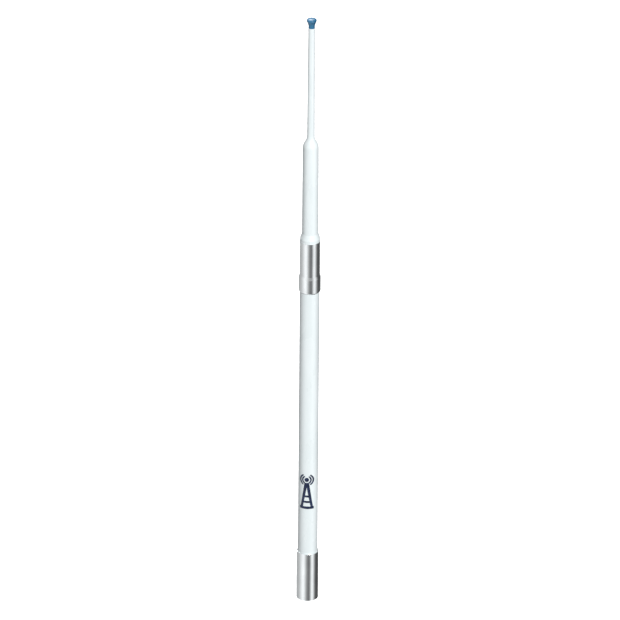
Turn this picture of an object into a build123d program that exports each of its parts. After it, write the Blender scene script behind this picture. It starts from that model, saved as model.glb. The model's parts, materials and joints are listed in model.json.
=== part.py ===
from build123d import *
import os

os.makedirs("parts", exist_ok=True)

# A two-piece omnidirectional rod antenna in millimetres. It stands on the rim of its base ferrule,
# with the origin at the centre of that rim and +Z along the rod to the tip.

# Driving heights, from the foot of the antenna to its tip
BASE_FERRULE_TOP = 71.6
JOINT_RING_BOTTOM = 471.0
JOINT_SHOULDER = 496.8
UPPER_FERRULE_TOP = 547.5
TAPER_BOTTOM = 689.5
TAPER_TOP = 707.5
WHIP_TOP = 871.4
TIP = 886.0

# Driving outside radii
BASE_FERRULE_R = 15.0
LOWER_TUBE_R = 13.6
JOINT_RING_R = 15.15
UPPER_FERRULE_R = 14.0
COLLAR_R = 13.8
UPPER_TUBE_BOTTOM_R = 11.3
UPPER_TUBE_TOP_R = 11.05
WHIP_BOTTOM_R = 5.35
WHIP_TOP_R = 4.7
CAP_R = 6.95
CAP_NECK_R = 4.55

# Inside radii of the radome tubes
LOWER_TUBE_BORE_R = 11.0
UPPER_TUBE_BORE_R = 9.15
WHIP_BORE_R = 2.65

# Clearances
BOND_GAP = 0.05  # glue film between a tube and its ferrule
SLIP_GAP = 0.1  # loose fit of an inner piece in its tube
RUNNING_GAP = 0.05  # radial clearance of a piece that turns or slides in another
EDGE = 0.5  # broken edge on the plated ferrules

# Mounting thread in the base ferrule: 1 inch, 14 threads per inch, drawn at its minor diameter
MOUNT_THREAD_R = 11.8
MOUNT_THREAD_END = 26.0
MOUNT_MOUTH_CHAMFER = 1.0
CONNECTOR_WELL_R = 12.8
WEB_BOTTOM = 43.0
WEB_TOP = 47.0
FLANGE_POCKET_R = 12.2
LOWER_TUBE_FOOT = 56.0

# Bulkhead connector with a 5/8 inch, 24 threads per inch barrel
CONNECTOR_TIP = 27.5
CONNECTOR_BARREL_R = 7.9
CONNECTOR_UNDERCUT_R = 7.3
CONNECTOR_UNDERCUT = (39.4, 40.2)
CONNECTOR_CAVITY_R = 4.2
CONNECTOR_FLANGE_R = 11.0
GASKET_T = 0.8
FLANGE_TOP = 51.0
CONNECTOR_LEAD_IN = 0.8
BOSS_R = 5.5
BOSS_TOP = 54.0
NUT_ACROSS_FLATS = 19.0
LOCK_WASHER_T = 0.6
INSULATOR_BOTTOM = 37.0
INSULATOR_TOP = 53.2
CONTACT_R = 1.6
CONTACT_BOTTOM = 31.5
CONTACT_TOP = 52.5
CONTACT_HOLE_R = 0.85
CONTACT_HOLE_DEPTH = 6.0

# Feed coax: core, dielectric, braid and jacket
CORE_R = 0.45
DIELECTRIC_R = 1.4
BRAID_R = 1.85
JACKET_R = 2.5
CORE_BOTTOM = 50.0
DIELECTRIC_BOTTOM = 53.2
BRAID_BOTTOM = 55.0
JACKET_BOTTOM = 58.0
JACKET_TOP = 186.0
BRAID_TOP = 191.0
DIELECTRIC_TOP = 198.0
CORE_TOP = 204.0
CLAMP_BODY_TOP = 56.1
CLAMP_CONE_TOP = 57.6
CLAMP_TUBE_TOP = 66.0
CLAMP_TUBE_R = 3.1
FILM = 0.05  # fit between neighbouring layers on the feed line

# Choke beads and the dipole's skirt
BEAD_R = 6.0
BEAD_H = 9.0
BEAD_BOTTOMS = (70.0, 80.0, 90.0)
SKIRT_R = 8.5
SKIRT_WALL = 0.5
SKIRT_BOTTOM = 104.0
SKIRT_TOP = 190.0
SKIRT_LID = 1.2
SKIRT_SPACER_HEIGHTS = (122.0, 168.0)

# Radiating rods and the foam discs that centre them
ROD_R = 1.5
ROD_HOLE_R = 1.55
LOWER_ROD_BOTTOM = 199.0
ROD_SEAT_DEPTH = 5.0
SPACER_H = 8.0
LOWER_SPACER_HEIGHTS = (215.0, 275.0, 335.0, 395.0)
UPPER_SPACER_HEIGHTS = (540.0, 670.0)
WHIP_SPACER_HEIGHTS = (763.0, 836.0)

# Screwed joint between the two sections
JOINT_THREAD_MAJOR_R = 10.0
JOINT_THREAD_CORE_R = 9.15
JOINT_PILOT_R = 10.4
JOINT_PILOT_BOTTOM = 491.8
SPIGOT_BOTTOM = 480.8
SOCKET_LEDGE = 479.8
TAIL_BOTTOM = 440.0
TAIL_BORE_R = 8.6
RING_TOP_CHAMFER_H = 4.3
RING_FOOT_CHAMFER_H = 1.5
RING_FOOT_CHAMFER_W = 1.0
PILOT_EDGE = 0.25
SEAL_GROOVE = (493.5, 495.1)
SEAL_R = 0.55
SEAL_CENTRE_R = 9.8
PIN_CHANNEL_R = 6.05
UPPER_TUBE_FOOT = 510.3

# Centre contact of the screwed joint
PIN_R = 2.0
PIN_NOSE = 470.3
PIN_NOSE_ROUND = 1.6
PIN_HEAD_BOTTOM = 506.3
PIN_TOP = 513.3
PIN_HEAD_R = 3.0
SOCKET_R = 3.5
SOCKET_BOTTOM = 452.3
SOCKET_TOP = 478.8
SOCKET_BLIND_END = 466.3
SOCKET_INSULATOR = (456.3, 479.3)

# Phasing coil between the two rods of the upper section
COIL_CAP_R = 7.8
COIL_CAP_H = 5.0
COIL_FOOT = 570.0
COIL_TOP = 640.0
FORMER_R = 6.0
COIL_R = 7.0
WIRE_R = 0.8
COIL_PITCH = 7.0
COIL_TURNS = 8

# Radome wall details
RADOME_FOOT_R = 12.55
COLLAR_TOP = 551.9
FLARE_TOP = 559.5
FLARE_ROUND = 1.0
BORE_TAPER_BOTTOM = 684.5
BORE_TAPER_TOP = 703.5

# Tip cap and the top end of the rod below its stem
CAP_NECK_TOP = 874.6
CAP_RIM = 882.2
CAP_SHOULDER_R = 5.2
CAP_SHOULDER = 884.5
CAP_NUB_R = 0.9
STEM_BOTTOM = 859.5
ROD_TIP = 853.5

# Printed mark on the lower tube: a mast with waves, centred a little left of the front
MARK_CENTRE_Z = 169.5
MARK_AZIMUTH = -8.0
MARK_HALF_H = 30.0
MARK_FILM = 0.1
MARK_GAP = 0.02
MAST_TOP = 12.4
MAST_APEX = 5.0
MAST_FOOT = -24.0
MAST_HALF_W = 5.2
MAST_BAR_W = 3.2
BALL_CENTRE = 17.0
BALL_R = 3.2
WAVE_RADII = (5.7, 8.7)
WAVE_W = 2.1
WAVE_HALF_ANGLE = 52.0
PLINTH_W = 19.0
PLINTH_H = 3.8
CROSS_BAR_HEIGHTS = (-17.0, -8.5)
CROSS_BAR_W = 3.0


def tube(bottom, top, outer, inner):
    """A plain round tube between two heights."""
    with BuildPart() as piece:
        with BuildSketch(Plane.XY.offset(bottom)):
            Circle(outer)
            Circle(inner, mode=Mode.SUBTRACT)
        extrude(amount=top - bottom)
    return piece


def rod(bottom, top, radius):
    """A plain round rod between two heights."""
    with BuildPart() as piece:
        with BuildSketch(Plane.XY.offset(bottom)):
            Circle(radius)
        extrude(amount=top - bottom)
    return piece


def disc_spacer(centre_z, height, outer, inner):
    """A centring disc with softened outer edges."""
    with BuildPart() as piece:
        with BuildSketch(Plane.XY.offset(centre_z - height / 2)):
            Circle(outer)
            Circle(inner, mode=Mode.SUBTRACT)
        extrude(amount=height)
        rims = piece.edges().filter_by(GeomType.CIRCLE).group_by(SortBy.RADIUS)[-1]
        fillet(rims, radius=min(EDGE, (outer - inner) / 4))
    return piece


def turned(outline):
    """A turned piece from the (radius, height) points of its half section."""
    with BuildPart() as piece:
        with BuildSketch(Plane.XZ):
            with BuildLine():
                Polyline(*outline, close=True)
            make_face()
        revolve(axis=Axis.Z)
    return piece


pieces = {}

# Base ferrule: mounting thread, well for the mating plug, web for the connector and seat for the tube
base_seat_r = LOWER_TUBE_R + BOND_GAP
with BuildPart() as base_ferrule:
    with BuildSketch(Plane.XZ):
        with BuildLine():
            Polyline(
                (MOUNT_THREAD_R + MOUNT_MOUTH_CHAMFER, 0),
                (BASE_FERRULE_R, 0),
                (BASE_FERRULE_R, BASE_FERRULE_TOP),
                (base_seat_r, BASE_FERRULE_TOP),
                (base_seat_r, LOWER_TUBE_FOOT),
                (FLANGE_POCKET_R, LOWER_TUBE_FOOT),
                (FLANGE_POCKET_R, WEB_TOP),
                (CONNECTOR_BARREL_R + SLIP_GAP, WEB_TOP),
                (CONNECTOR_BARREL_R + SLIP_GAP, WEB_BOTTOM),
                (CONNECTOR_WELL_R, WEB_BOTTOM),
                (CONNECTOR_WELL_R, MOUNT_THREAD_END),
                (MOUNT_THREAD_R, MOUNT_THREAD_END),
                (MOUNT_THREAD_R, MOUNT_MOUTH_CHAMFER),
                close=True,
            )
        make_face()
    revolve(axis=Axis.Z)
    outer_rims = base_ferrule.edges().filter_by(GeomType.CIRCLE).group_by(SortBy.RADIUS)[-1]
    fillet(outer_rims, radius=EDGE)
pieces["base_ferrule"] = base_ferrule

# Lower radome: one straight fibreglass tube, bonded into both of its ferrules
pieces["lower_radome"] = tube(LOWER_TUBE_FOOT, SOCKET_LEDGE, LOWER_TUBE_R, LOWER_TUBE_BORE_R)

# Lower joint ferrule: the wide ring, its threaded socket and the tail bonded inside the tube
joint_thread_bore_r = JOINT_THREAD_MAJOR_R + RUNNING_GAP
pilot_bore_r = JOINT_PILOT_R + RUNNING_GAP
tail_r = LOWER_TUBE_BORE_R - BOND_GAP
pieces["lower_joint_ferrule"] = turned(
    [
        (LOWER_TUBE_R + BOND_GAP, JOINT_RING_BOTTOM),
        (JOINT_RING_R - RING_FOOT_CHAMFER_W, JOINT_RING_BOTTOM),
        (JOINT_RING_R, JOINT_RING_BOTTOM + RING_FOOT_CHAMFER_H),
        (JOINT_RING_R, JOINT_SHOULDER - RING_TOP_CHAMFER_H),
        (UPPER_FERRULE_R, JOINT_SHOULDER),
        (pilot_bore_r, JOINT_SHOULDER),
        (pilot_bore_r, JOINT_PILOT_BOTTOM),
        (joint_thread_bore_r, JOINT_PILOT_BOTTOM),
        (joint_thread_bore_r, SOCKET_LEDGE),
        (TAIL_BORE_R, SOCKET_LEDGE),
        (TAIL_BORE_R, TAIL_BOTTOM),
        (tail_r, TAIL_BOTTOM),
        (tail_r, SOCKET_LEDGE),
        (LOWER_TUBE_R + BOND_GAP, SOCKET_LEDGE),
    ]
)

# Joint socket: a brass tube with a blind seat for the lower rod and an open bore for the pin
pin_bore_r = PIN_R + RUNNING_GAP
rod_seat = SOCKET_BOTTOM + ROD_SEAT_DEPTH
with BuildPart() as joint_socket:
    with BuildSketch(Plane.XY.offset(SOCKET_BOTTOM)):
        Circle(SOCKET_R)
    extrude(amount=SOCKET_TOP - SOCKET_BOTTOM)
    with BuildSketch(Plane.XY.offset(SOCKET_BLIND_END)):
        Circle(pin_bore_r)
    extrude(amount=SOCKET_TOP - SOCKET_BLIND_END, mode=Mode.SUBTRACT)
    with BuildSketch(Plane.XY.offset(SOCKET_BOTTOM)):
        Circle(ROD_HOLE_R)
    extrude(amount=ROD_SEAT_DEPTH, mode=Mode.SUBTRACT)
    mouth = joint_socket.faces().sort_by(Axis.Z)[-1].edges().sort_by(SortBy.RADIUS)[0]
    chamfer(mouth, length=EDGE)
pieces["joint_socket"] = joint_socket

pieces["socket_insulator"] = tube(*SOCKET_INSULATOR, TAIL_BORE_R - FILM, SOCKET_R + FILM)

# Lower rod: the driven half above the skirt, drilled at its foot for the coax core
with BuildPart() as lower_radiator:
    with BuildSketch(Plane.XY.offset(LOWER_ROD_BOTTOM)):
        Circle(ROD_R)
    extrude(amount=rod_seat - FILM - LOWER_ROD_BOTTOM)
    with BuildSketch(Plane.XY.offset(LOWER_ROD_BOTTOM)):
        Circle(CORE_R + FILM)
    extrude(amount=CORE_TOP + FILM - LOWER_ROD_BOTTOM, mode=Mode.SUBTRACT)
pieces["lower_radiator"] = lower_radiator

# Skirt of the sleeve dipole: a brass cup, open downwards, soldered to the braid at its lid
pieces["dipole_skirt"] = turned(
    [
        (BRAID_R + FILM, SKIRT_TOP),
        (SKIRT_R, SKIRT_TOP),
        (SKIRT_R, SKIRT_BOTTOM),
        (SKIRT_R - SKIRT_WALL, SKIRT_BOTTOM),
        (SKIRT_R - SKIRT_WALL, SKIRT_TOP - SKIRT_LID),
        (BRAID_R + FILM, SKIRT_TOP - SKIRT_LID),
    ]
)
for number, height in enumerate(SKIRT_SPACER_HEIGHTS, start=1):
    pieces[f"skirt_spacer_{number}"] = disc_spacer(
        height, SPACER_H, LOWER_TUBE_BORE_R - SLIP_GAP, SKIRT_R + FILM
    )
for number, height in enumerate(LOWER_SPACER_HEIGHTS, start=1):
    pieces[f"lower_spacer_{number}"] = disc_spacer(
        height, SPACER_H, LOWER_TUBE_BORE_R - SLIP_GAP, ROD_HOLE_R
    )

# Feed coax, layer by layer, and the ferrite beads threaded on it
pieces["feed_coax_core"] = rod(CORE_BOTTOM, CORE_TOP, CORE_R)
pieces["feed_coax_dielectric"] = tube(DIELECTRIC_BOTTOM, DIELECTRIC_TOP, DIELECTRIC_R, CORE_R + FILM)
pieces["feed_coax_braid"] = tube(BRAID_BOTTOM, BRAID_TOP, BRAID_R, DIELECTRIC_R + FILM)
pieces["feed_coax_jacket"] = tube(JACKET_BOTTOM, JACKET_TOP, JACKET_R, BRAID_R + FILM)
with BuildPart() as choke_beads:
    for bottom in BEAD_BOTTOMS:
        with BuildSketch(Plane.XY.offset(bottom)):
            Circle(BEAD_R)
            Circle(JACKET_R + SLIP_GAP, mode=Mode.SUBTRACT)
        extrude(amount=BEAD_H)
    bead_rims = choke_beads.edges().filter_by(GeomType.CIRCLE).group_by(SortBy.RADIUS)[-1]
    fillet(bead_rims, radius=EDGE)
pieces["choke_beads"] = choke_beads

# Connector: threaded barrel, panel flange and rear boss in one turned body
undercut_bottom, undercut_top = CONNECTOR_UNDERCUT
flange_bottom = WEB_TOP + GASKET_T
pieces["connector_body"] = turned(
    [
        (CONNECTOR_CAVITY_R, CONNECTOR_TIP),
        (CONNECTOR_BARREL_R - CONNECTOR_LEAD_IN, CONNECTOR_TIP),
        (CONNECTOR_BARREL_R, CONNECTOR_TIP + CONNECTOR_LEAD_IN),
        (CONNECTOR_BARREL_R, undercut_bottom),
        (CONNECTOR_UNDERCUT_R, undercut_bottom),
        (CONNECTOR_UNDERCUT_R, undercut_top),
        (CONNECTOR_BARREL_R, undercut_top),
        (CONNECTOR_BARREL_R, flange_bottom),
        (CONNECTOR_FLANGE_R, flange_bottom),
        (CONNECTOR_FLANGE_R, FLANGE_TOP),
        (BOSS_R, FLANGE_TOP),
        (BOSS_R, BOSS_TOP),
        (CONNECTOR_CAVITY_R, BOSS_TOP),
    ]
)
pieces["connector_gasket"] = tube(
    WEB_TOP, flange_bottom, CONNECTOR_FLANGE_R - SLIP_GAP, CONNECTOR_BARREL_R + SLIP_GAP
)
washer_bottom = WEB_BOTTOM - LOCK_WASHER_T
pieces["connector_lock_washer"] = tube(
    washer_bottom, WEB_BOTTOM, CONNECTOR_FLANGE_R - SLIP_GAP, CONNECTOR_BARREL_R + SLIP_GAP
)
with BuildPart() as connector_nut:
    with BuildSketch(Plane.XY.offset(undercut_top)):
        RegularPolygon(radius=NUT_ACROSS_FLATS / 2, side_count=6, major_radius=False)
        Circle(CONNECTOR_BARREL_R + FILM, mode=Mode.SUBTRACT)
    extrude(amount=washer_bottom - undercut_top)
pieces["connector_nut"] = connector_nut
pieces["connector_insulator"] = tube(
    INSULATOR_BOTTOM, INSULATOR_TOP, CONNECTOR_CAVITY_R - FILM, CONTACT_R + FILM
)

# Centre contact: a socket for the mating plug's pin below and a solder cup for the core above
with BuildPart() as connector_contact:
    with BuildSketch(Plane.XY.offset(CONTACT_BOTTOM)):
        Circle(CONTACT_R)
    extrude(amount=CONTACT_TOP - CONTACT_BOTTOM)
    with BuildSketch(Plane.XY.offset(CONTACT_BOTTOM)):
        Circle(CONTACT_HOLE_R)
    extrude(amount=CONTACT_HOLE_DEPTH, mode=Mode.SUBTRACT)
    with BuildSketch(Plane.XY.offset(CORE_BOTTOM - FILM)):
        Circle(CORE_R + FILM)
    extrude(amount=CONTACT_TOP - CORE_BOTTOM + FILM, mode=Mode.SUBTRACT)
pieces["connector_contact"] = connector_contact

# Cable clamp: closes the connector's rear and grips the braid and jacket
pieces["cable_clamp"] = turned(
    [
        (BRAID_R + FILM, BOSS_TOP),
        (BOSS_R, BOSS_TOP),
        (BOSS_R, CLAMP_BODY_TOP),
        (CLAMP_TUBE_R, CLAMP_CONE_TOP),
        (CLAMP_TUBE_R, CLAMP_TUBE_TOP),
        (JACKET_R + FILM, CLAMP_TUBE_TOP),
        (JACKET_R + FILM, JACKET_BOTTOM - FILM),
        (BRAID_R + FILM, JACKET_BOTTOM - FILM),
    ]
)

# Upper ferrule: tube seat above the shoulder, and below it the pilot, seal groove and threaded spigot
upper_seat_r = RADOME_FOOT_R + BOND_GAP
groove_bottom, groove_top = SEAL_GROOVE
with BuildPart() as upper_ferrule:
    with BuildSketch(Plane.XZ):
        with BuildLine():
            Polyline(
                (PIN_CHANNEL_R, SPIGOT_BOTTOM),
                (JOINT_THREAD_CORE_R - EDGE, SPIGOT_BOTTOM),
                (JOINT_THREAD_CORE_R, SPIGOT_BOTTOM + EDGE),
                (JOINT_THREAD_CORE_R, JOINT_PILOT_BOTTOM),
                (JOINT_PILOT_R - PILOT_EDGE, JOINT_PILOT_BOTTOM),
                (JOINT_PILOT_R, JOINT_PILOT_BOTTOM + PILOT_EDGE),
                (JOINT_PILOT_R, groove_bottom),
                (JOINT_THREAD_CORE_R, groove_bottom),
                (JOINT_THREAD_CORE_R, groove_top),
                (JOINT_PILOT_R, groove_top),
                (JOINT_PILOT_R, JOINT_SHOULDER),
                (UPPER_FERRULE_R, JOINT_SHOULDER),
                (UPPER_FERRULE_R, UPPER_FERRULE_TOP),
                (upper_seat_r, UPPER_FERRULE_TOP),
                (upper_seat_r, UPPER_TUBE_FOOT),
                (UPPER_TUBE_BORE_R, UPPER_TUBE_FOOT),
                (UPPER_TUBE_BORE_R, PIN_HEAD_BOTTOM),
                (PIN_CHANNEL_R, PIN_HEAD_BOTTOM),
                close=True,
            )
        make_face()
    revolve(axis=Axis.Z)
pieces["upper_ferrule"] = upper_ferrule

# Joint seal: an O-ring in the pilot's groove
with BuildPart() as joint_seal:
    with BuildSketch(Plane.XZ):
        with Locations((SEAL_CENTRE_R, (groove_bottom + groove_top) / 2)):
            Circle(SEAL_R)
    revolve(axis=Axis.Z)
pieces["joint_seal"] = joint_seal

# Contact pin: rounded nose, long shank and a head drilled for the upper rod
with BuildPart() as contact_pin:
    with BuildSketch(Plane.XY.offset(PIN_NOSE)):
        Circle(PIN_R)
    extrude(amount=PIN_HEAD_BOTTOM - PIN_NOSE)
    nose = contact_pin.edges().sort_by(Axis.Z)[0]
    fillet(nose, radius=PIN_NOSE_ROUND)
    with BuildSketch(Plane.XY.offset(PIN_HEAD_BOTTOM)):
        Circle(PIN_HEAD_R)
    extrude(amount=PIN_TOP - PIN_HEAD_BOTTOM)
    with BuildSketch(Plane.XY.offset(PIN_TOP - ROD_SEAT_DEPTH)):
        Circle(ROD_HOLE_R)
    extrude(amount=ROD_SEAT_DEPTH, mode=Mode.SUBTRACT)
pieces["contact_pin"] = contact_pin
pieces["pin_insulator"] = tube(
    SPIGOT_BOTTOM + EDGE, PIN_HEAD_BOTTOM, PIN_CHANNEL_R - FILM, PIN_R + FILM
)

# Upper radome: foot in the ferrule, collar on its rim, flare, slim tube, S-shaped taper and whip
with BuildPart() as upper_radome:
    with BuildSketch(Plane.XZ):
        with BuildLine():
            Polyline(
                (UPPER_TUBE_BORE_R, UPPER_TUBE_FOOT),
                (RADOME_FOOT_R, UPPER_TUBE_FOOT),
                (RADOME_FOOT_R, UPPER_FERRULE_TOP),
                (COLLAR_R, UPPER_FERRULE_TOP),
                (COLLAR_R, COLLAR_TOP),
                (UPPER_TUBE_BOTTOM_R, FLARE_TOP),
                (UPPER_TUBE_TOP_R, TAPER_BOTTOM),
            )
            Spline(
                (UPPER_TUBE_TOP_R, TAPER_BOTTOM),
                (WHIP_BOTTOM_R, TAPER_TOP),
                tangents=((0, 1), (0, 1)),
            )
            Polyline(
                (WHIP_BOTTOM_R, TAPER_TOP),
                (WHIP_TOP_R, WHIP_TOP),
                (WHIP_BORE_R, WHIP_TOP),
                (WHIP_BORE_R, BORE_TAPER_TOP),
            )
            Spline(
                (WHIP_BORE_R, BORE_TAPER_TOP),
                (UPPER_TUBE_BORE_R, BORE_TAPER_BOTTOM),
                tangents=((0, -1), (0, -1)),
            )
            Line((UPPER_TUBE_BORE_R, BORE_TAPER_BOTTOM), (UPPER_TUBE_BORE_R, UPPER_TUBE_FOOT))
        make_face()
    revolve(axis=Axis.Z)
    flare_rims = upper_radome.edges().filter_by(
        lambda edge: edge.geom_type == GeomType.CIRCLE
        and COLLAR_TOP - FILM < edge.arc_center.Z < FLARE_TOP + FILM
    )
    fillet(flare_rims, radius=FLARE_ROUND)
pieces["upper_radome"] = upper_radome

# Upper rods, joined through the phasing coil
coil_cap_top = COIL_FOOT + COIL_CAP_H
coil_cap_bottom = COIL_TOP - COIL_CAP_H
pieces["upper_radiator"] = rod(PIN_TOP - ROD_SEAT_DEPTH, coil_cap_top, ROD_R)
pieces["top_radiator"] = rod(coil_cap_bottom, ROD_TIP, ROD_R)
pieces["coil_cap_lower"] = tube(COIL_FOOT, coil_cap_top, COIL_CAP_R, ROD_HOLE_R)
pieces["coil_cap_upper"] = tube(coil_cap_bottom, COIL_TOP, COIL_CAP_R, ROD_HOLE_R)
pieces["phasing_coil_former"] = rod(coil_cap_top, coil_cap_bottom, FORMER_R)

# Phasing coil: round wire wound on the former from one end cap to the other
coil_height = COIL_PITCH * COIL_TURNS
coil_start = (coil_cap_top + coil_cap_bottom - coil_height) / 2
with BuildPart() as phasing_coil:
    with BuildLine():
        winding = Helix(COIL_PITCH, coil_height, COIL_R, center=(0, 0, coil_start))
    with BuildSketch(Plane(origin=winding @ 0, z_dir=winding % 0)):
        Circle(WIRE_R)
    sweep(path=winding, is_frenet=True)
pieces["phasing_coil"] = phasing_coil

for number, height in enumerate(UPPER_SPACER_HEIGHTS, start=1):
    pieces[f"upper_spacer_{number}"] = disc_spacer(
        height, SPACER_H, UPPER_TUBE_BORE_R - SLIP_GAP, ROD_HOLE_R
    )
for number, height in enumerate(WHIP_SPACER_HEIGHTS, start=1):
    pieces[f"whip_spacer_{number}"] = disc_spacer(
        height, SPACER_H, WHIP_BORE_R - SLIP_GAP, ROD_HOLE_R
    )

# Tip cap: stem in the whip's bore, neck on its rim, flaring to a low domed head with a small nub
cap_crown = TIP - CAP_NUB_R
with BuildPart() as tip_cap:
    with BuildSketch(Plane.XZ):
        with BuildLine():
            Polyline(
                (0, TIP),
                (0, STEM_BOTTOM),
                (WHIP_BORE_R - FILM, STEM_BOTTOM),
                (WHIP_BORE_R - FILM, WHIP_TOP),
                (CAP_NECK_R, WHIP_TOP),
                (CAP_NECK_R, CAP_NECK_TOP),
            )
            Spline(
                (CAP_NECK_R, CAP_NECK_TOP),
                (CAP_R, CAP_RIM),
                tangents=((0.1, 1), (0.25, 1)),
            )
            Spline(
                (CAP_R, CAP_RIM),
                (CAP_SHOULDER_R, CAP_SHOULDER),
                (CAP_NUB_R, cap_crown),
                tangents=((0.1, 1), (-1, 0.05)),
            )
            RadiusArc((CAP_NUB_R, cap_crown), (0, TIP), -CAP_NUB_R)
        make_face()
    revolve(axis=Axis.Z)
pieces["tip_cap"] = tip_cap

# Printed mark: a lattice mast with waves, cut from a thin film around the lower tube
mark_direction = Vector(0, -1, 0).rotate(Axis.Z, MARK_AZIMUTH)
mark_plane = Plane(
    origin=(0, 0, MARK_CENTRE_Z),
    x_dir=Vector(1, 0, 0).rotate(Axis.Z, MARK_AZIMUTH),
    z_dir=mark_direction,
)
with BuildPart() as tube_mark:
    with BuildSketch(mark_plane):
        with Locations((0, BALL_CENTRE)):
            Circle(BALL_R)
        for side in (0, 180):
            for wave_r in WAVE_RADII:
                with BuildLine():
                    CenterArc((0, BALL_CENTRE), wave_r, side - WAVE_HALF_ANGLE, 2 * WAVE_HALF_ANGLE)
                    offset(amount=WAVE_W / 2)
                make_face()
        with BuildLine():
            Polyline(
                (-MAST_BAR_W, MAST_TOP),
                (MAST_BAR_W, MAST_TOP),
                (MAST_HALF_W + MAST_BAR_W, MAST_FOOT),
                (-MAST_HALF_W - MAST_BAR_W, MAST_FOOT),
                close=True,
            )
        make_face()
        with BuildLine():
            Polyline(
                (0, MAST_APEX),
                (MAST_HALF_W, MAST_FOOT),
                (-MAST_HALF_W, MAST_FOOT),
                close=True,
            )
        make_face(mode=Mode.SUBTRACT)
        with Locations((0, MAST_FOOT - PLINTH_H / 2)):
            Rectangle(PLINTH_W, PLINTH_H)
        for bar_height in CROSS_BAR_HEIGHTS:
            with Locations((0, bar_height)):
                Rectangle(2 * MAST_HALF_W, CROSS_BAR_W)
    extrude(amount=2 * LOWER_TUBE_R)
    with BuildSketch(Plane.XY.offset(MARK_CENTRE_Z - MARK_HALF_H)):
        Circle(LOWER_TUBE_R + MARK_GAP + MARK_FILM)
        Circle(LOWER_TUBE_R + MARK_GAP, mode=Mode.SUBTRACT)
    extrude(amount=2 * MARK_HALF_H, mode=Mode.INTERSECT)
pieces["tube_mark"] = tube_mark

for name, piece in pieces.items():
    piece.part.label = name
    export_step(piece.part, f"parts/{name}.step")
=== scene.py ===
import json
import math

import bmesh
import bpy
from mathutils import Matrix, Vector


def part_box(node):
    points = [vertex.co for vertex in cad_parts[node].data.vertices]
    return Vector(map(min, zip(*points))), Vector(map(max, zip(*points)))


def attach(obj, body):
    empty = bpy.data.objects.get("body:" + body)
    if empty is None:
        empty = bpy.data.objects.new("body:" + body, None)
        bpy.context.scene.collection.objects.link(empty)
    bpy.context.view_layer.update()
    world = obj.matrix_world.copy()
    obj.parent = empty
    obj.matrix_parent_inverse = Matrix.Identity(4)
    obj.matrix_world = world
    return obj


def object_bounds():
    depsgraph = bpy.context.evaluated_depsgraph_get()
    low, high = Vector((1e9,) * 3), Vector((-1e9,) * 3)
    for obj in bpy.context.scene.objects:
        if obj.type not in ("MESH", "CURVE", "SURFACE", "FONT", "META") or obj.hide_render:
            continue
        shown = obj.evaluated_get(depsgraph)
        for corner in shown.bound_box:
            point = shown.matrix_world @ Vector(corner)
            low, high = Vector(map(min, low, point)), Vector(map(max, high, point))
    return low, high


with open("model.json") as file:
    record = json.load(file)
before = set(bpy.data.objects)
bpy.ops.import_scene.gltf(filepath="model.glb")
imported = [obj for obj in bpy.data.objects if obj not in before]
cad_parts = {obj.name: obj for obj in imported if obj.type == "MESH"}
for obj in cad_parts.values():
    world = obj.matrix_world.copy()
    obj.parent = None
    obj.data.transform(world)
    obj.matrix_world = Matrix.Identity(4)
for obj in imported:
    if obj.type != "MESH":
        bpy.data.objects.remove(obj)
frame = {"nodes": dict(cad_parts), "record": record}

CAD_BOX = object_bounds()
NODES = frame["nodes"]
MM = 0.001


# ---------------------------------------------------------------- measures from the frame

def low(node):
    """Height of the lowest point of a CAD node."""
    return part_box(node)[0][2]


def mount(name):
    """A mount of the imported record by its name."""
    return next(m for m in frame["record"]["mounts"] if m["name"] == name)


def coupling_pitch(joint):
    """Rise per turn of a screwed joint whose turn follows its lift."""
    couplings = frame["record"]["behaviour"]["couplings"]
    return 2 * math.pi / next(c["ratio"] for c in couplings if c["joint"] == joint)


ANTENNA_TOP = CAD_BOX[1][2]


# ---------------------------------------------------------------- node helpers

def new_material(name):
    """An empty node material and its Principled shader."""
    material = bpy.data.materials.new(name)
    material.use_nodes = True
    tree = material.node_tree
    return material, tree, tree.nodes["Principled BSDF"]


def add(tree, kind, settings=None, **inputs):
    """Adds a shader node, sets its settings and its input sockets by name."""
    made = tree.nodes.new(kind)
    for key, value in (settings or {}).items():
        setattr(made, key, value)
    for key, value in inputs.items():
        made.inputs[key.replace("_", " ")].default_value = value
    return made


def stretched(tree, scale):
    """Object coordinates in metres, stretched by a scale along each axis."""
    coordinates = add(tree, "ShaderNodeTexCoord")
    mapping = add(tree, "ShaderNodeMapping", Scale=scale)
    tree.links.new(coordinates.outputs["Object"], mapping.inputs["Vector"])
    return mapping.outputs["Vector"]


def noise(tree, scale, detail=3.0, roughness=0.5):
    """A noise pattern with its own scale along each axis."""
    made = add(tree, "ShaderNodeTexNoise", Scale=1.0, Detail=detail, Roughness=roughness)
    tree.links.new(stretched(tree, scale), made.inputs["Vector"])
    return made.outputs["Fac"]


def spread(tree, value, low_in, high_in, low_out, high_out):
    """Maps a value from one range to another."""
    made = tree.nodes.new("ShaderNodeMapRange")
    made.inputs["From Min"].default_value = low_in
    made.inputs["From Max"].default_value = high_in
    made.inputs["To Min"].default_value = low_out
    made.inputs["To Max"].default_value = high_out
    tree.links.new(value, made.inputs["Value"])
    return made.outputs["Result"]


def blend_colours(tree, factor, first, second):
    """Mixes two colours, or a colour socket and a colour, by a factor socket."""
    made = tree.nodes.new("ShaderNodeMix")
    made.data_type = "RGBA"
    tree.links.new(factor, made.inputs["Factor"])
    for socket, colour in ((made.inputs[6], first), (made.inputs[7], second)):
        if isinstance(colour, bpy.types.NodeSocket):
            tree.links.new(colour, socket)
        else:
            socket.default_value = (*colour, 1.0)
    return made.outputs[2]


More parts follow.
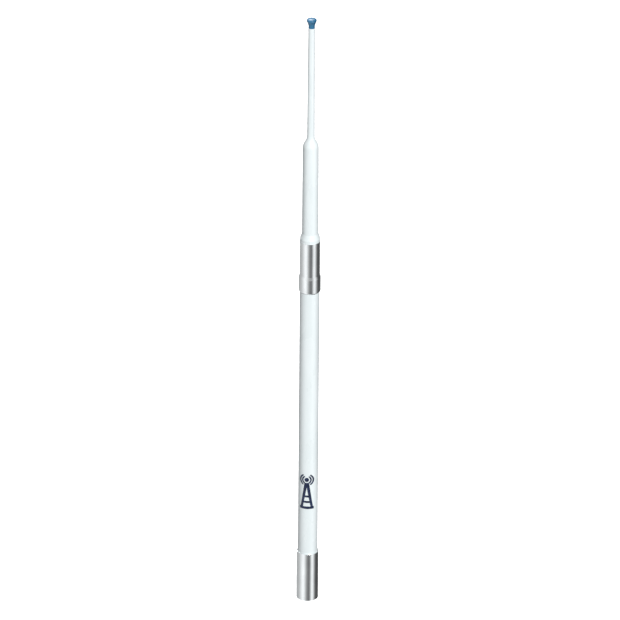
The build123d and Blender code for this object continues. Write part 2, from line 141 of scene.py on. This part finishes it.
def bump(tree, shader, height, strength, distance):
    """Feeds a height pattern to the shader's normal."""
    made = add(tree, "ShaderNodeBump", Strength=strength, Distance=distance)
    tree.links.new(height, made.inputs["Height"])
    tree.links.new(made.outputs["Normal"], shader.inputs["Normal"])


def add_values(tree, first, second, weight=1.0):
    """first + weight * second."""
    made = add(tree, "ShaderNodeMath", {"operation": "MULTIPLY_ADD"})
    tree.links.new(second, made.inputs[0])
    made.inputs[1].default_value = weight
    tree.links.new(first, made.inputs[2])
    return made.outputs["Value"]


# ---------------------------------------------------------------- materials

def white_fibreglass():
    """Glossy white gelcoat with faint draw lines along the tube and a slight cloudiness."""
    material, tree, shader = new_material("white_fibreglass")
    clouds = noise(tree, (60, 60, 18), detail=4)
    specks = noise(tree, (1400, 1400, 900), detail=2)
    colour = blend_colours(
        tree, spread(tree, clouds, 0.35, 0.65, 0, 1), (0.775, 0.845, 0.855), (0.825, 0.885, 0.895)
    )
    dust = spread(tree, specks, 0.68, 0.78, 0, 0.35)
    colour = blend_colours(tree, dust, colour, (0.66, 0.69, 0.70))
    tree.links.new(colour, shader.inputs["Base Color"])
    tree.links.new(spread(tree, clouds, 0.3, 0.7, 0.22, 0.34), shader.inputs["Roughness"])
    shader.inputs["Coat Weight"].default_value = 0.35
    shader.inputs["Coat Roughness"].default_value = 0.1
    draw_lines = noise(tree, (900, 900, 25), detail=2)
    peel = noise(tree, (350, 350, 350), detail=1)
    bump(tree, shader, add_values(tree, peel, draw_lines, 0.7), 0.12, 0.05 * MM)
    return material


def chrome_plate():
    """Polished plating with fine turning lines, soft smears, hairline scratches and small pits."""
    material, tree, shader = new_material("chrome_plate")
    shader.inputs["Metallic"].default_value = 1.0
    smears = noise(tree, (90, 90, 45), detail=5, roughness=0.6)
    turning = noise(tree, (12, 12, 4200), detail=2)
    scuffs = noise(tree, (300, 300, 2400), detail=4, roughness=0.7)
    hairlines = noise(tree, (2600, 2600, 90), detail=3, roughness=0.7)
    pits = noise(tree, (1900, 1900, 1900), detail=1)
    colour = blend_colours(
        tree, spread(tree, smears, 0.3, 0.7, 0, 1), (0.725, 0.755, 0.770), (0.805, 0.840, 0.850)
    )
    scratched = spread(tree, hairlines, 0.64, 0.74, 0, 0.35)
    colour = blend_colours(tree, scratched, colour, (0.55, 0.57, 0.58))
    pitted = spread(tree, pits, 0.76, 0.82, 0, 0.5)
    colour = blend_colours(tree, pitted, colour, (0.35, 0.35, 0.35))
    tree.links.new(colour, shader.inputs["Base Color"])
    polish = spread(tree, smears, 0.3, 0.7, 0.08, 0.17)
    worn = spread(tree, scuffs, 0.6, 0.8, 0, 0.14)
    tree.links.new(add_values(tree, polish, worn), shader.inputs["Roughness"])
    bump(tree, shader, add_values(tree, turning, smears, 2.0), 0.22, 0.012 * MM)
    return material


def moulded_plastic(name, dark, light, gloss, peel_scale=700, peel=0.25):
    """A moulded plastic with a fine orange-peel skin and slightly uneven colour."""
    material, tree, shader = new_material(name)
    uneven = noise(tree, (120, 120, 120), detail=4)
    colour = blend_colours(tree, spread(tree, uneven, 0.35, 0.65, 0, 1), dark, light)
    tree.links.new(colour, shader.inputs["Base Color"])
    roughness = spread(tree, uneven, 0.3, 0.7, gloss - 0.05, gloss + 0.08)
    tree.links.new(roughness, shader.inputs["Roughness"])
    skin = noise(tree, (peel_scale,) * 3, detail=2)
    bump(tree, shader, skin, peel, 0.05 * MM)
    return material


def navy_vinyl():
    """Printed navy film, a little mottled, with pale pinholes in the ink."""
    material, tree, shader = new_material("navy_vinyl")
    shader.inputs["Specular IOR Level"].default_value = 0.3
    ink = noise(tree, (260, 260, 260), detail=4)
    pinholes = noise(tree, (1500, 1500, 1500), detail=2)
    colour = blend_colours(
        tree, spread(tree, ink, 0.35, 0.65, 0, 1), (0.006, 0.012, 0.036), (0.018, 0.030, 0.080)
    )
    bare = spread(tree, pinholes, 0.68, 0.78, 0, 0.35)
    colour = blend_colours(tree, bare, colour, (0.20, 0.23, 0.32))
    tree.links.new(colour, shader.inputs["Base Color"])
    tree.links.new(spread(tree, ink, 0.3, 0.7, 0.38, 0.55), shader.inputs["Roughness"])
    bump(tree, shader, pinholes, 0.1, 0.02 * MM)
    return material


def bare_metal(name, dark, light, rough):
    """Drawn or turned metal with fine lines and a slight tarnish."""
    material, tree, shader = new_material(name)
    shader.inputs["Metallic"].default_value = 1.0
    tarnish = noise(tree, (200, 200, 120), detail=5, roughness=0.6)
    lines = noise(tree, (20, 20, 3000), detail=2)
    colour = blend_colours(tree, spread(tree, tarnish, 0.35, 0.7, 0, 1), light, dark)
    tree.links.new(colour, shader.inputs["Base Color"])
    tree.links.new(spread(tree, tarnish, 0.3, 0.7, rough, rough + 0.15), shader.inputs["Roughness"])
    bump(tree, shader, lines, 0.15, 0.02 * MM)
    return material


def closed_cell_foam():
    """Grey foam with fine cells."""
    material, tree, shader = new_material("grey_foam")
    cells = add(tree, "ShaderNodeTexVoronoi", Scale=1800.0)
    tree.links.new(stretched(tree, (1, 1, 1)), cells.inputs["Vector"])
    distance = cells.outputs["Distance"]
    colour = blend_colours(
        tree, spread(tree, distance, 0, 0.6, 0, 1), (0.30, 0.31, 0.32), (0.50, 0.51, 0.52)
    )
    tree.links.new(colour, shader.inputs["Base Color"])
    tree.links.new(spread(tree, distance, 0, 0.6, 0.75, 0.95), shader.inputs["Roughness"])
    bump(tree, shader, distance, 0.6, 0.15 * MM)
    return material


def braided_copper():
    """Copper with the crossing pattern of a woven braid."""
    material, tree, shader = new_material("copper_wire")
    shader.inputs["Metallic"].default_value = 1.0
    strands = add(
        tree, "ShaderNodeTexWave", {"bands_direction": "DIAGONAL"}, Scale=900.0, Distortion=1.5
    )
    tree.links.new(stretched(tree, (1, 1, 1)), strands.inputs["Vector"])
    pattern = strands.outputs["Fac"]
    colour = blend_colours(tree, pattern, (0.50, 0.22, 0.12), (0.84, 0.46, 0.30))
    tree.links.new(colour, shader.inputs["Base Color"])
    tree.links.new(spread(tree, pattern, 0, 1, 0.42, 0.22), shader.inputs["Roughness"])
    bump(tree, shader, pattern, 0.3, 0.05 * MM)
    return material


MATERIALS = {
    "white_fibreglass": white_fibreglass(),
    "chrome_plate": chrome_plate(),
    "blue_cap": moulded_plastic(
        "blue_cap", (0.010, 0.100, 0.205), (0.030, 0.180, 0.340), 0.28, peel_scale=900, peel=0.35
    ),
    "navy_vinyl": navy_vinyl(),
    "nickel_plate": bare_metal("nickel_plate", (0.50, 0.47, 0.42), (0.70, 0.67, 0.61), 0.2),
    "bare_brass": bare_metal("bare_brass", (0.50, 0.34, 0.14), (0.80, 0.62, 0.31), 0.22),
    "copper_wire": braided_copper(),
    "white_insulator": moulded_plastic(
        "white_insulator", (0.78, 0.78, 0.75), (0.88, 0.88, 0.86), 0.45
    ),
    "grey_foam": closed_cell_foam(),
    "black_jacket": moulded_plastic(
        "black_jacket", (0.012, 0.012, 0.013), (0.03, 0.03, 0.03), 0.42
    ),
    "ferrite": moulded_plastic(
        "ferrite", (0.045, 0.045, 0.05), (0.10, 0.10, 0.11), 0.6, peel_scale=1600, peel=0.5
    ),
    "seal_rubber": moulded_plastic(
        "seal_rubber", (0.010, 0.010, 0.011), (0.025, 0.025, 0.026), 0.55, peel_scale=1200, peel=0.4
    ),
}


def dress_cad_nodes():
    """Gives every CAD node the material of its slot."""
    for row in frame["record"]["subparts"]:
        mesh = NODES[row["node"]].data
        mesh.materials.clear()
        mesh.materials.append(MATERIALS[row["material_slot"]])


# ---------------------------------------------------------------- screw threads

STEPS_PER_TURN = 72
RUN_OUT_TURNS = 0.4
RUN_OUT_HEIGHT = 0.04
SHARP_EDGE = math.radians(20)
EMBED = 0.02 * MM
INCH = 25.4 * MM

# Screwed joint: the spigot's and the ring's ridges, half a pitch apart
JOINT_THREAD_TOP = 11 * MM
JOINT_LEAD_IN = 0.5 * MM
JOINT_ROOT_W = 1.12 * MM
SPIGOT_CORE_R = 9.15 * MM
SPIGOT_CREST_R = 9.97 * MM
SPIGOT_CREST_W = 0.19 * MM
RING_MAJOR_R = 10.05 * MM
RING_CREST_R = 9.28 * MM
RING_CREST_W = 0.2 * MM

# Mounting thread in the base ferrule
BASE_THREADS_PER_INCH = 14
BASE_RIDGE_H = 0.5 * MM
BASE_ROOT_W = 1.4 * MM
BASE_CREST_W = 0.5 * MM

# Thread on the connector barrel
BARREL_THREADS_PER_INCH = 24
BARREL_LEAD_IN = 0.9 * MM
BARREL_RUN_OUT = 0.3 * MM
BARREL_RIDGE_H = 0.3 * MM
BARREL_ROOT_W = 0.8 * MM
BARREL_CREST_W = 0.25 * MM


def screw_thread(name, body, slot, pitch, bottom, top, root_r, crest_r, root_w, crest_w):
    """A right-handed helical ridge from root_r to crest_r that fades out at both ends."""
    turns = (top - bottom - root_w) / pitch
    steps = round(turns * STEPS_PER_TURN)
    mesh = bpy.data.meshes.new(name)
    shape = bmesh.new()
    rings = []
    for step in range(steps + 1):
        turn = turns * step / steps
        height = min(1.0, turn / RUN_OUT_TURNS, (turns - turn) / RUN_OUT_TURNS)
        height = max(height, RUN_OUT_HEIGHT)
        ridge_r = root_r + (crest_r - root_r) * height
        ridge_w = root_w + (crest_w - root_w) * height
        angle = 2 * math.pi * turn
        centre_z = bottom + root_w / 2 + pitch * turn
        section = (
            (root_r, -root_w / 2),
            (ridge_r, -ridge_w / 2),
            (ridge_r, ridge_w / 2),
            (root_r, root_w / 2),
        )
        rings.append([
            shape.verts.new((r * math.cos(angle), r * math.sin(angle), centre_z + z))
            for r, z in section
        ])
    for before, after in zip(rings, rings[1:]):
        for side in range(len(before)):
            other = (side + 1) % len(before)
            shape.faces.new((before[side], before[other], after[other], after[side]))
    shape.faces.new(rings[0])
    shape.faces.new(reversed(rings[-1]))
    bmesh.ops.recalc_face_normals(shape, faces=shape.faces)
    shape.to_mesh(mesh)
    shape.free()
    mesh.shade_smooth()
    mesh.set_sharp_from_angle(angle=SHARP_EDGE)
    piece = bpy.data.objects.new(name, mesh)
    bpy.context.scene.collection.objects.link(piece)
    mesh.materials.append(MATERIALS[slot])
    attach(piece, body)


def joint_threads():
    """The meshing threads of the screwed joint: one on the spigot, one in the ring."""
    pitch = coupling_pitch("thread_turn")
    spigot_bottom = low("upper_ferrule")
    bottom = spigot_bottom + JOINT_LEAD_IN
    top = spigot_bottom + JOINT_THREAD_TOP
    screw_thread(
        "spigot_thread", "upper_section", "chrome_plate", pitch, bottom, top,
        SPIGOT_CORE_R - EMBED, SPIGOT_CREST_R, JOINT_ROOT_W, SPIGOT_CREST_W,
    )
    screw_thread(
        "ring_thread", "lower_section", "chrome_plate", pitch, bottom - pitch / 2, top,
        RING_MAJOR_R + EMBED, RING_CREST_R, JOINT_ROOT_W, RING_CREST_W,
    )


def base_thread():
    """The mounting thread in the base ferrule's bore."""
    row = mount("base_thread")
    wall_r = row["dims"]["r_mm"] * MM
    length = row["dims"]["length_mm"] * MM
    centre = row["pos_m"][2]
    screw_thread(
        "base_bore_thread", "lower_section", "chrome_plate", INCH / BASE_THREADS_PER_INCH,
        centre - length / 2, centre + length / 2,
        wall_r + EMBED, wall_r - BASE_RIDGE_H, BASE_ROOT_W, BASE_CREST_W,
    )


def connector_thread():
    """The thread on the connector's barrel."""
    row = mount("rf_connector")
    barrel_r = row["dims"]["r_mm"] * MM
    bottom = low("connector_body") + BARREL_LEAD_IN
    top = bottom + row["dims"]["length_mm"] * MM - BARREL_RUN_OUT
    screw_thread(
        "connector_barrel_thread", "lower_section", "nickel_plate",
        INCH / BARREL_THREADS_PER_INCH, bottom, top,
        barrel_r - EMBED, barrel_r + BARREL_RIDGE_H, BARREL_ROOT_W, BARREL_CREST_W,
    )


# ---------------------------------------------------------------- studio

ELEVATION = math.radians(27.0)
LEAN = math.radians(0.45)
VIEW_WIDTH = 0.8468
CAMERA_DISTANCE = 38.0
SENSOR = 36.0
AIM = Vector((0.7 * MM, 0.0, 0.4976 * ANTENNA_TOP))

FLOOR_R = 30.0
FLOOR_GLOW = 0.8
STAGE_SEGMENTS = 96

# World: its light on the antenna, and its brightness to the camera
AMBIENT = 0.28
BACKDROP = 1.1
AMBIENT_COLOUR = (0.97, 0.985, 1.0, 1)

# Softboxes: azimuth from the front and elevation in degrees, power in watts
SOFTBOX_DISTANCE = 12.0
SOFTBOX_SIZE = 5.0
SOFTBOXES = {
    "key_softbox": (18, 27, 1470),
    "back_softbox": (190, 48, 1200),
}

# Reflection tent: a tube with flags up to FLAG_TOP, and plain white from OVERHEAD_BOTTOM up
TENT_R = 20.0
TENT_BOTTOM = -60.0
TENT_TOP = 60.0
TENT_GLOW = 1.25
TENT_WHITE = (1 / TENT_GLOW,) * 3
FLAG_TOP = 0.8
FLAG_FADE = 0.4
FLAG_VEIL = 0.24
OVERHEAD_BOTTOM = 20.0
OVERHEAD_FADE = 5.0
# Brightness of the tent by azimuth in degrees from the front, positive to the right
TENT_PANELS = (
    (-180, 0.35), (-130, 0.54), (-104, 0.56), (-88, 0.72), (-72, 0.93), (-56, 1.16),
    (-42, 1.22), (-32, 1.05), (-22, 0.75), (-11, 0.45), (0, 0.28), (12, 0.19), (22, 0.24),
    (32, 0.55), (42, 1.05), (56, 1.12), (66, 0.85), (76, 0.45), (88, 0.19), (100, 0.09),
    (124, 0.09), (140, 0.22), (180, 0.33),
)


def make_camera():
    """A long lens from the front and above, rolled so that the antenna leans to the right."""
    data = bpy.data.cameras.new("camera")
    data.sensor_width = SENSOR
    data.lens = SENSOR * CAMERA_DISTANCE / VIEW_WIDTH
    data.clip_end = 4 * CAMERA_DISTANCE
    camera = bpy.data.objects.new("camera", data)
    offset = Vector((0, -math.cos(ELEVATION), math.sin(ELEVATION))) * CAMERA_DISTANCE
    tilt = Matrix.Rotation(math.pi / 2 - ELEVATION, 4, "X")
    roll = Matrix.Rotation(LEAN, 4, "Z")
    camera.matrix_world = Matrix.Translation(AIM + offset) @ tilt @ roll
    bpy.context.scene.collection.objects.link(camera)
    bpy.context.scene.camera = camera


def stage_piece(name, mesh, material, camera=False, glossy=False):
    """Links a stage mesh that only camera rays or only reflections see."""
    piece = bpy.data.objects.new(name, mesh)
    mesh.materials.append(material)
    bpy.context.scene.collection.objects.link(piece)
    piece.visible_camera = camera
    piece.visible_diffuse = False
    piece.visible_glossy = glossy
    piece.visible_transmission = camera
    piece.visible_shadow = False


def make_floor():
    """A pale floor as bright as the backdrop, seen by the camera only."""
    material, _, shader = new_material("studio_floor")
    shader.inputs["Base Color"].default_value = (0.85, 0.85, 0.85, 1)
    shader.inputs["Roughness"].default_value = 1.0
    shader.inputs["Specular IOR Level"].default_value = 0.0
    shader.inputs["Emission Color"].default_value = (1, 1, 1, 1)
    shader.inputs["Emission Strength"].default_value = FLOOR_GLOW
    mesh = bpy.data.meshes.new("floor")
    shape = bmesh.new()
    bmesh.ops.create_circle(shape, cap_ends=True, radius=FLOOR_R, segments=STAGE_SEGMENTS)
    shape.to_mesh(mesh)
    shape.free()
    stage_piece("floor", mesh, material, camera=True)


def tent_material():
    """Glowing panels by azimuth, veiled above the flags and white overhead."""
    material = bpy.data.materials.new("studio_tent")
    material.use_nodes = True
    tree = material.node_tree
    tree.nodes.remove(tree.nodes["Principled BSDF"])
    emission = add(tree, "ShaderNodeEmission", Strength=TENT_GLOW)
    tree.links.new(emission.outputs["Emission"], tree.nodes["Material Output"].inputs["Surface"])
    coordinates = add(tree, "ShaderNodeTexCoord")
    split = add(tree, "ShaderNodeSeparateXYZ")
    tree.links.new(coordinates.outputs["Object"], split.inputs["Vector"])
    front = add(tree, "ShaderNodeMath", {"operation": "MULTIPLY"})
    front.inputs[1].default_value = -1.0
    tree.links.new(split.outputs["Y"], front.inputs[0])
    azimuth = add(tree, "ShaderNodeMath", {"operation": "ARCTAN2"})
    tree.links.new(split.outputs["X"], azimuth.inputs[0])
    tree.links.new(front.outputs["Value"], azimuth.inputs[1])
    around = spread(tree, azimuth.outputs["Value"], -math.pi, math.pi, 0, 1)
    ramp = tree.nodes.new("ShaderNodeValToRGB")
    stops = ramp.color_ramp.elements
    while len(stops) < len(TENT_PANELS):
        stops.new(0.5)
    for stop, (degrees, brightness) in zip(stops, TENT_PANELS):
        stop.position = (degrees + 180) / 360
        stop.color = (*(brightness / TENT_GLOW,) * 3, 1)
    tree.links.new(around, ramp.inputs["Fac"])
    height = split.outputs["Z"]
    veil = spread(tree, height, FLAG_TOP - FLAG_FADE, FLAG_TOP + FLAG_FADE, 0, FLAG_VEIL)
    colour = blend_colours(tree, veil, ramp.outputs["Color"], TENT_WHITE)
    overhead = spread(tree, height, OVERHEAD_BOTTOM, OVERHEAD_BOTTOM + OVERHEAD_FADE, 0, 1)
    colour = blend_colours(tree, overhead, colour, TENT_WHITE)
    tree.links.new(colour, emission.inputs["Color"])
    return material


def make_tent():
    """A reflection tent: white panels with dark flags between them, seen by reflections only."""
    mesh = bpy.data.meshes.new("tent")
    shape = bmesh.new()
    bmesh.ops.create_cone(
        shape, cap_ends=True, segments=STAGE_SEGMENTS,
        radius1=TENT_R, radius2=TENT_R, depth=TENT_TOP - TENT_BOTTOM,
    )
    shape.to_mesh(mesh)
    shape.free()
    stage_piece("tent", mesh, tent_material(), glossy=True)


def make_lamp(name, azimuth, elevation, power):
    """A square softbox aimed at the middle of the antenna."""
    data = bpy.data.lights.new(name, "AREA")
    data.size = SOFTBOX_SIZE
    data.energy = power
    lamp = bpy.data.objects.new(name, data)
    a, e = math.radians(azimuth), math.radians(elevation)
    direction = Vector((math.sin(a) * math.cos(e), -math.cos(a) * math.cos(e), math.sin(e)))
    lamp.location = AIM + direction * SOFTBOX_DISTANCE
    lamp.rotation_euler = direction.to_track_quat("Z", "Y").to_euler()
    bpy.context.scene.collection.objects.link(lamp)


def light_the_studio():
    """Even ambient light from a world that looks white to the camera, and two softboxes."""
    world = bpy.data.worlds.new("studio")
    world.use_nodes = True
    tree = world.node_tree
    background = tree.nodes["Background"]
    background.inputs["Color"].default_value = AMBIENT_COLOUR
    path = add(tree, "ShaderNodeLightPath")
    strength = spread(tree, path.outputs["Is Camera Ray"], 0, 1, AMBIENT, BACKDROP)
    tree.links.new(strength, background.inputs["Strength"])
    bpy.context.scene.world = world
    for name, (azimuth, elevation, power) in SOFTBOXES.items():
        make_lamp(name, azimuth, elevation, power)


# ---------------------------------------------------------------- put together

dress_cad_nodes()
joint_threads()
base_thread()
connector_thread()
make_camera()
make_floor()
make_tent()
light_the_studio()
bpy.context.scene.view_settings.view_transform = "Standard"
